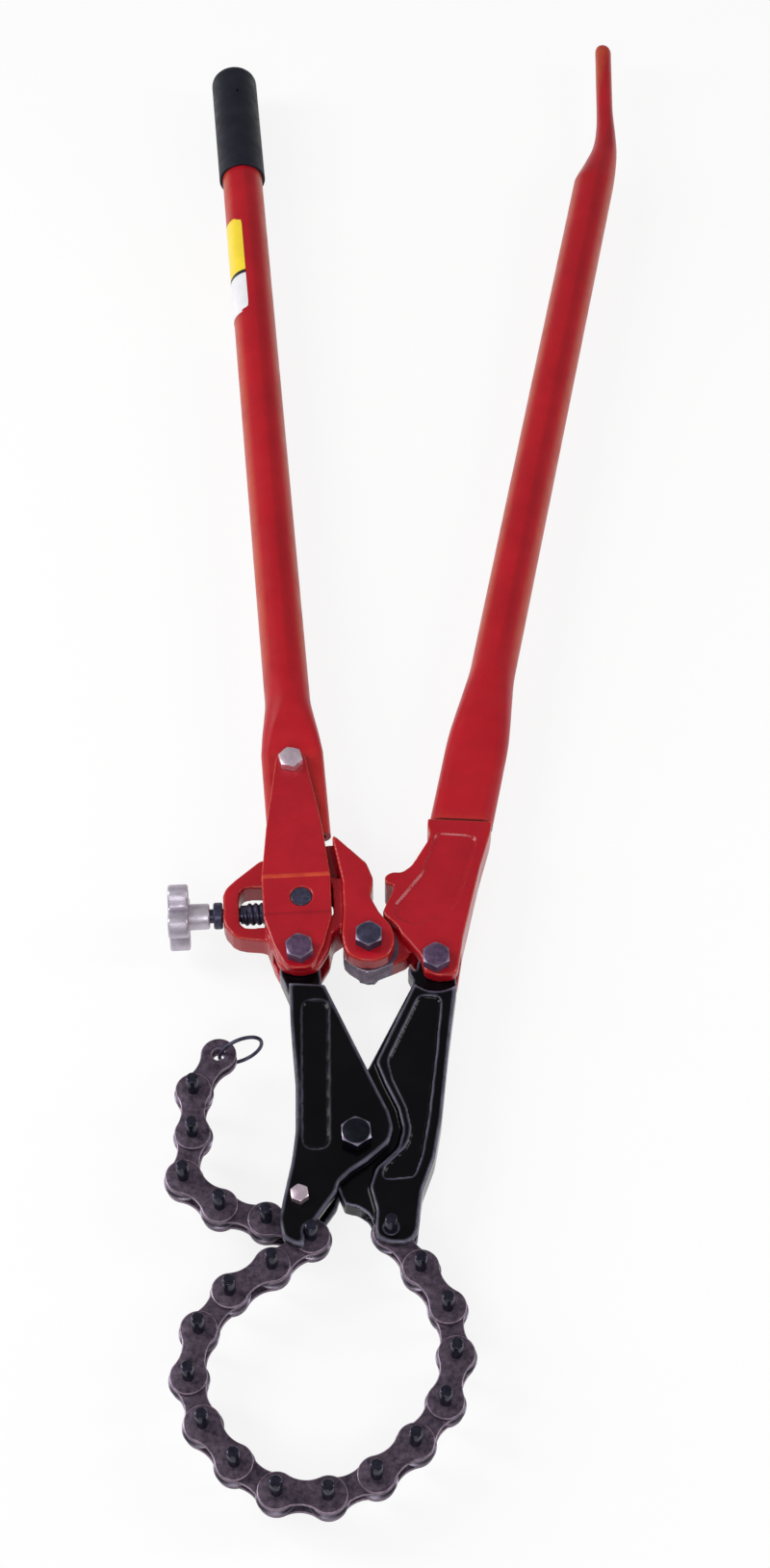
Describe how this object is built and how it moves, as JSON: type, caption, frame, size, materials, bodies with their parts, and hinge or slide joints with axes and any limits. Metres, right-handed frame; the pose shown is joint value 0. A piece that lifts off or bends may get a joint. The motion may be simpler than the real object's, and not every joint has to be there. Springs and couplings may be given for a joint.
{
  "type": "soil pipe cutter",
  "caption": "Two-handled soil pipe cutter whose toggle jaws tighten a looped chain of cutting wheels round a pipe.",
  "frame": {"origin": "centre of the jaw pivot bolt's rear end face, in the plane that the longest bolts end in", "axes": "+Y up the tool towards the handles, the longest extent; +Z out of the tool's front, where the bolt heads are, the shortest extent; +X towards the bare handle"},
  "size_m": [0.3536, 1.3328, 0.0642],
  "materials": {
    "red_paint": "glossy red enamel",
    "black_paint": "glossy black enamel over a forging",
    "dark_steel": "dark oiled steel",
    "zinc_plate": "dull bright zinc plate",
    "chain_steel": "dark heat-treated steel, lighter on its edges",
    "grip_rubber": "matte blue-black dipped grip"
  },
  "bodies": {
    "left_jaw_body": {"left_jaw": "black_paint", "pivot_bolt": "dark_steel", "pivot_nut": "dark_steel", "keeper_bolt": "zinc_plate"},
    "right_jaw_body": {"right_jaw": "black_paint", "anchor_pin": "dark_steel"},
    "yoke_body": {"yoke": "red_paint", "left_link_bolt": "dark_steel", "left_link_nut": "dark_steel", "toggle_bolt": "dark_steel", "toggle_nut": "dark_steel"},
    "left_handle": {"front_handle_plate": "red_paint", "rear_handle_plate": "red_paint", "left_handle_tube": "red_paint", "handle_grip": "grip_rubber", "handle_bolt": "zinc_plate", "handle_nut": "zinc_plate"},
    "trunnion_body": {"trunnion": "dark_steel"},
    "adjuster": {"adjusting_screw": "dark_steel", "star_knob": "zinc_plate"},
    "right_handle": {"handle_socket": "red_paint", "right_handle_tube": "red_paint", "right_link_bolt": "dark_steel", "right_link_nut": "dark_steel"},
    "chain_link_01_body": {"chain_link_01": "chain_steel"},
    "chain_link_02_body": {"chain_link_02": "chain_steel"},
    "chain_link_03_body": {"chain_link_03": "chain_steel"},
    "chain_link_04_body": {"chain_link_04": "chain_steel"},
    "chain_link_05_body": {"chain_link_05": "chain_steel"},
    "chain_link_06_body": {"chain_link_06": "chain_steel"},
    "chain_link_07_body": {"chain_link_07": "chain_steel"},
    "chain_link_08_body": {"chain_link_08": "chain_steel"},
    "chain_link_09_body": {"chain_link_09": "chain_steel"},
    "chain_link_10_body": {"chain_link_10": "chain_steel"},
    "chain_link_11_body": {"chain_link_11": "chain_steel"},
    "chain_link_12_body": {"chain_link_12": "chain_steel"},
    "chain_link_13_body": {"chain_link_13": "chain_steel"},
    "chain_link_14_body": {"chain_link_14": "chain_steel"},
    "chain_link_15_body": {"chain_link_15": "chain_steel"},
    "chain_link_16_body": {"chain_link_16": "chain_steel"},
    "chain_link_17_body": {"chain_link_17": "chain_steel"},
    "chain_link_18_body": {"chain_link_18": "chain_steel"},
    "chain_link_19_body": {"chain_link_19": "chain_steel"},
    "chain_link_20_body": {"chain_link_20": "chain_steel"},
    "chain_link_21_body": {"chain_link_21": "chain_steel"},
    "cutting_wheel_01_body": {"cutting_wheel_01": "chain_steel"},
    "cutting_wheel_02_body": {"cutting_wheel_02": "chain_steel"},
    "cutting_wheel_03_body": {"cutting_wheel_03": "chain_steel"},
    "cutting_wheel_04_body": {"cutting_wheel_04": "chain_steel"},
    "cutting_wheel_05_body": {"cutting_wheel_05": "chain_steel"},
    "cutting_wheel_06_body": {"cutting_wheel_06": "chain_steel"},
    "cutting_wheel_07_body": {"cutting_wheel_07": "chain_steel"},
    "cutting_wheel_08_body": {"cutting_wheel_08": "chain_steel"},
    "cutting_wheel_09_body": {"cutting_wheel_09": "chain_steel"},
    "cutting_wheel_10_body": {"cutting_wheel_10": "chain_steel"},
    "cutting_wheel_11_body": {"cutting_wheel_11": "chain_steel"},
    "cutting_wheel_12_body": {"cutting_wheel_12": "chain_steel"},
    "cutting_wheel_13_body": {"cutting_wheel_13": "chain_steel"},
    "cutting_wheel_14_body": {"cutting_wheel_14": "chain_steel"},
    "pull_ring_body": {"pull_ring": "chain_steel"}
  },
  "joints": [
    {"name": "jaw_hinge", "type": "hinge", "parent": "left_jaw_body", "child": "right_jaw_body", "pos_m": [0, 0, 0.034], "axis": [0, 0, 1], "range_deg": [-1.1, 3.4]},
    {"name": "toggle_fold", "type": "hinge", "parent": "left_jaw_body", "child": "yoke_body", "pos_m": [-0.0466, 0.13414, 0.034], "axis": [0, 0, 1], "range_deg": [-5.2, 16]},
    {"name": "right_handle_hinge", "type": "hinge", "parent": "right_jaw_body", "child": "right_handle", "pos_m": [0.0466, 0.13414, 0.034], "axis": [0, 0, 1], "range_deg": [-16.1, 5.3]},
    {"name": "handle_adjust", "type": "hinge", "parent": "yoke_body", "child": "left_handle", "pos_m": [-0.0466, 0.13414, 0.034], "axis": [0, 0, 1], "range_deg": [-2.5, 14]},
    {"name": "trunnion_turn", "type": "hinge", "parent": "left_handle", "child": "trunnion_body", "pos_m": [-0.04845, 0.1782, 0.034], "axis": [0, 0, 1], "range_deg": [-14.1, 2.6]},
    {"name": "adjuster_spin", "type": "hinge", "parent": "yoke_body", "child": "adjuster", "pos_m": [-0.04845, 0.1782, 0.034], "axis": [0.9945, 0.1045, 0], "range_deg": [-165, 922]},
    {"name": "chain_hinge_01", "type": "hinge", "parent": "right_jaw_body", "child": "chain_link_01_body", "pos_m": [0.026, -0.061, 0.034], "axis": [0, 0, 1], "range_deg": [0, 50]},
    {"name": "chain_hinge_02", "type": "hinge", "parent": "chain_link_01_body", "child": "chain_link_02_body", "pos_m": [0.04619, -0.0855, 0.034], "axis": [0, 0, 1], "range_deg": [-12, 12]},
    {"name": "chain_hinge_03", "type": "hinge", "parent": "chain_link_02_body", "child": "chain_link_03_body", "pos_m": [0.06454, -0.11141, 0.034], "axis": [0, 0, 1], "range_deg": [-12.3, 12.3]},
    {"name": "chain_hinge_04", "type": "hinge", "parent": "chain_link_03_body", "child": "chain_link_04_body", "pos_m": [0.07114, -0.14247, 0.034], "axis": [0, 0, 1], "range_deg": [-12.3, 12.3]},
    {"name": "chain_hinge_05", "type": "hinge", "parent": "chain_link_04_body", "child": "chain_link_05_body", "pos_m": [0.06552, -0.17372, 0.034], "axis": [0, 0, 1], "range_deg": [-12.3, 12.3]},
    {"name": "chain_hinge_06", "type": "hinge", "parent": "chain_link_05_body", "child": "chain_link_06_body", "pos_m": [0.04823, -0.20034, 0.034], "axis": [0, 0, 1], "range_deg": [-12.3, 12.3]},
    {"name": "chain_hinge_07", "type": "hinge", "parent": "chain_link_06_body", "child": "chain_link_07_body", "pos_m": [0.02543, -0.22244, 0.034], "axis": [0, 0, 1], "range_deg": [-12.3, 12.3]},
    {"name": "chain_hinge_08", "type": "hinge", "parent": "chain_link_07_body", "child": "chain_link_08_body", "pos_m": [-0.00308, -0.23641, 0.034], "axis": [0, 0, 1], "range_deg": [-2.3, 0.8]},
    {"name": "chain_hinge_09", "type": "hinge", "parent": "chain_link_08_body", "child": "chain_link_09_body", "pos_m": [-0.03483, -0.23569, 0.034], "axis": [0, 0, 1], "range_deg": [-1.3, 3.7]},
    {"name": "chain_hinge_10", "type": "hinge", "parent": "chain_link_09_body", "child": "chain_link_10_body", "pos_m": [-0.0619, -0.2191, 0.034], "axis": [0, 0, 1], "range_deg": [-12.3, 12.3]},
    {"name": "chain_hinge_11", "type": "hinge", "parent": "chain_link_10_body", "child": "chain_link_11_body", "pos_m": [-0.08351, -0.19584, 0.034], "axis": [0, 0, 1], "range_deg": [-12.3, 12.3]},
    {"name": "chain_hinge_12", "type": "hinge", "parent": "chain_link_11_body", "child": "chain_link_12_body", "pos_m": [-0.09484, -0.16618, 0.034], "axis": [0, 0, 1], "range_deg": [-12.3, 12.3]},
    {"name": "chain_hinge_13", "type": "hinge", "parent": "chain_link_12_body", "child": "chain_link_13_body", "pos_m": [-0.09141, -0.13461, 0.034], "axis": [0, 0, 1], "range_deg": [-12.3, 12.3]},
    {"name": "chain_hinge_14", "type": "hinge", "parent": "chain_link_13_body", "child": "chain_link_14_body", "pos_m": [-0.07407, -0.10802, 0.034], "axis": [0, 0, 1], "range_deg": [-12.3, 12.3]},
    {"name": "chain_hinge_15", "type": "hinge", "parent": "chain_link_14_body", "child": "chain_link_15_body", "pos_m": [-0.04878, -0.08882, 0.034], "axis": [0, 0, 1], "range_deg": [-12.3, 12.3]},
    {"name": "chain_hinge_16", "type": "hinge", "parent": "chain_link_15_body", "child": "chain_link_16_body", "pos_m": [-0.02485, -0.06795, 0.034], "axis": [0, 0, 1], "range_deg": [-4.9, 1.7]},
    {"name": "chain_hinge_17", "type": "hinge", "parent": "chain_link_16_body", "child": "chain_link_17_body", "pos_m": [-0.05486, -0.05756, 0.034], "axis": [0, 0, 1], "range_deg": [-5, 55]},
    {"name": "chain_hinge_18", "type": "hinge", "parent": "chain_link_17_body", "child": "chain_link_18_body", "pos_m": [-0.08562, -0.04972, 0.034], "axis": [0, 0, 1], "range_deg": [-6, 40]},
    {"name": "chain_hinge_19", "type": "hinge", "parent": "chain_link_18_body", "child": "chain_link_19_body", "pos_m": [-0.11095, -0.03056, 0.034], "axis": [0, 0, 1], "range_deg": [-6, 40]},
    {"name": "chain_hinge_20", "type": "hinge", "parent": "chain_link_19_body", "child": "chain_link_20_body", "pos_m": [-0.10796, 0.00104, 0.034], "axis": [0, 0, 1], "range_deg": [-6, 40]},
    {"name": "chain_hinge_21", "type": "hinge", "parent": "chain_link_20_body", "child": "chain_link_21_body", "pos_m": [-0.11034, 0.0327, 0.034], "axis": [0, 0, 1], "range_deg": [-6, 40]},
    {"name": "ring_hinge", "type": "hinge", "parent": "chain_link_21_body", "child": "pull_ring_body", "pos_m": [-0.09627, 0.06117, 0.034], "axis": [0, 0, 1], "range_deg": [-75, 75]},
    {"name": "cutting_wheel_01_spin", "type": "hinge", "parent": "chain_link_01_body", "child": "cutting_wheel_01_body", "pos_m": [0.04619, -0.0855, 0.034], "axis": [0, 0, 1], "continuous": true},
    {"name": "cutting_wheel_02_spin", "type": "hinge", "parent": "chain_link_03_body", "child": "cutting_wheel_02_body", "pos_m": [0.06454, -0.11141, 0.034], "axis": [0, 0, 1], "continuous": true},
    {"name": "cutting_wheel_03_spin", "type": "hinge", "parent": "chain_link_03_body", "child": "cutting_wheel_03_body", "pos_m": [0.07114, -0.14247, 0.034], "axis": [0, 0, 1], "continuous": true},
    {"name": "cutting_wheel_04_spin", "type": "hinge", "parent": "chain_link_05_body", "child": "cutting_wheel_04_body", "pos_m": [0.06552, -0.17372, 0.034], "axis": [0, 0, 1], "continuous": true},
    {"name": "cutting_wheel_05_spin", "type": "hinge", "parent": "chain_link_05_body", "child": "cutting_wheel_05_body", "pos_m": [0.04823, -0.20034, 0.034], "axis": [0, 0, 1], "continuous": true},
    {"name": "cutting_wheel_06_spin", "type": "hinge", "parent": "chain_link_07_body", "child": "cutting_wheel_06_body", "pos_m": [0.02543, -0.22244, 0.034], "axis": [0, 0, 1], "continuous": true},
    {"name": "cutting_wheel_07_spin", "type": "hinge", "parent": "chain_link_07_body", "child": "cutting_wheel_07_body", "pos_m": [-0.00308, -0.23641, 0.034], "axis": [0, 0, 1], "continuous": true},
    {"name": "cutting_wheel_08_spin", "type": "hinge", "parent": "chain_link_09_body", "child": "cutting_wheel_08_body", "pos_m": [-0.03483, -0.23569, 0.034], "axis": [0, 0, 1], "continuous": true},
    {"name": "cutting_wheel_09_spin", "type": "hinge", "parent": "chain_link_09_body", "child": "cutting_wheel_09_body", "pos_m": [-0.0619, -0.2191, 0.034], "axis": [0, 0, 1], "continuous": true},
    {"name": "cutting_wheel_10_spin", "type": "hinge", "parent": "chain_link_11_body", "child": "cutting_wheel_10_body", "pos_m": [-0.08351, -0.19584, 0.034], "axis": [0, 0, 1], "continuous": true},
    {"name": "cutting_wheel_11_spin", "type": "hinge", "parent": "chain_link_11_body", "child": "cutting_wheel_11_body", "pos_m": [-0.09484, -0.16618, 0.034], "axis": [0, 0, 1], "continuous": true},
    {"name": "cutting_wheel_12_spin", "type": "hinge", "parent": "chain_link_13_body", "child": "cutting_wheel_12_body", "pos_m": [-0.09141, -0.13461, 0.034], "axis": [0, 0, 1], "continuous": true},
    {"name": "cutting_wheel_13_spin", "type": "hinge", "parent": "chain_link_13_body", "child": "cutting_wheel_13_body", "pos_m": [-0.07407, -0.10802, 0.034], "axis": [0, 0, 1], "continuous": true},
    {"name": "cutting_wheel_14_spin", "type": "hinge", "parent": "chain_link_15_body", "child": "cutting_wheel_14_body", "pos_m": [-0.04878, -0.08882, 0.034], "axis": [0, 0, 1], "continuous": true}
  ],
  "couplings": [
    {"joint": "jaw_hinge", "follows": "toggle_fold", "ratio": 0.21},
    {"joint": "right_handle_hinge", "follows": "toggle_fold", "ratio": -1},
    {"joint": "trunnion_turn", "follows": "handle_adjust", "ratio": -1},
    {"joint": "adjuster_spin", "follows": "handle_adjust", "ratio": 65.824},
    {"joint": "chain_hinge_03", "follows": "chain_hinge_02", "ratio": -1.02},
    {"joint": "chain_hinge_04", "follows": "chain_hinge_02", "ratio": 0.99},
    {"joint": "chain_hinge_05", "follows": "chain_hinge_02", "ratio": -1},
    {"joint": "chain_hinge_06", "follows": "chain_hinge_02", "ratio": 1},
    {"joint": "chain_hinge_07", "follows": "chain_hinge_02", "ratio": -0.98},
    {"joint": "chain_hinge_08", "follows": "toggle_fold", "ratio": -0.1375},
    {"joint": "chain_hinge_09", "follows": "toggle_fold", "ratio": 0.2232},
    {"joint": "chain_hinge_10", "follows": "chain_hinge_02", "ratio": 1.01},
    {"joint": "chain_hinge_11", "follows": "chain_hinge_02", "ratio": -0.98},
    {"joint": "chain_hinge_12", "follows": "chain_hinge_02", "ratio": 1.01},
    {"joint": "chain_hinge_13", "follows": "chain_hinge_02", "ratio": -1},
    {"joint": "chain_hinge_14", "follows": "chain_hinge_02", "ratio": 0.99},
    {"joint": "chain_hinge_15", "follows": "chain_hinge_02", "ratio": -1.02},
    {"joint": "chain_hinge_16", "follows": "toggle_fold", "ratio": -0.2957}
  ]
}
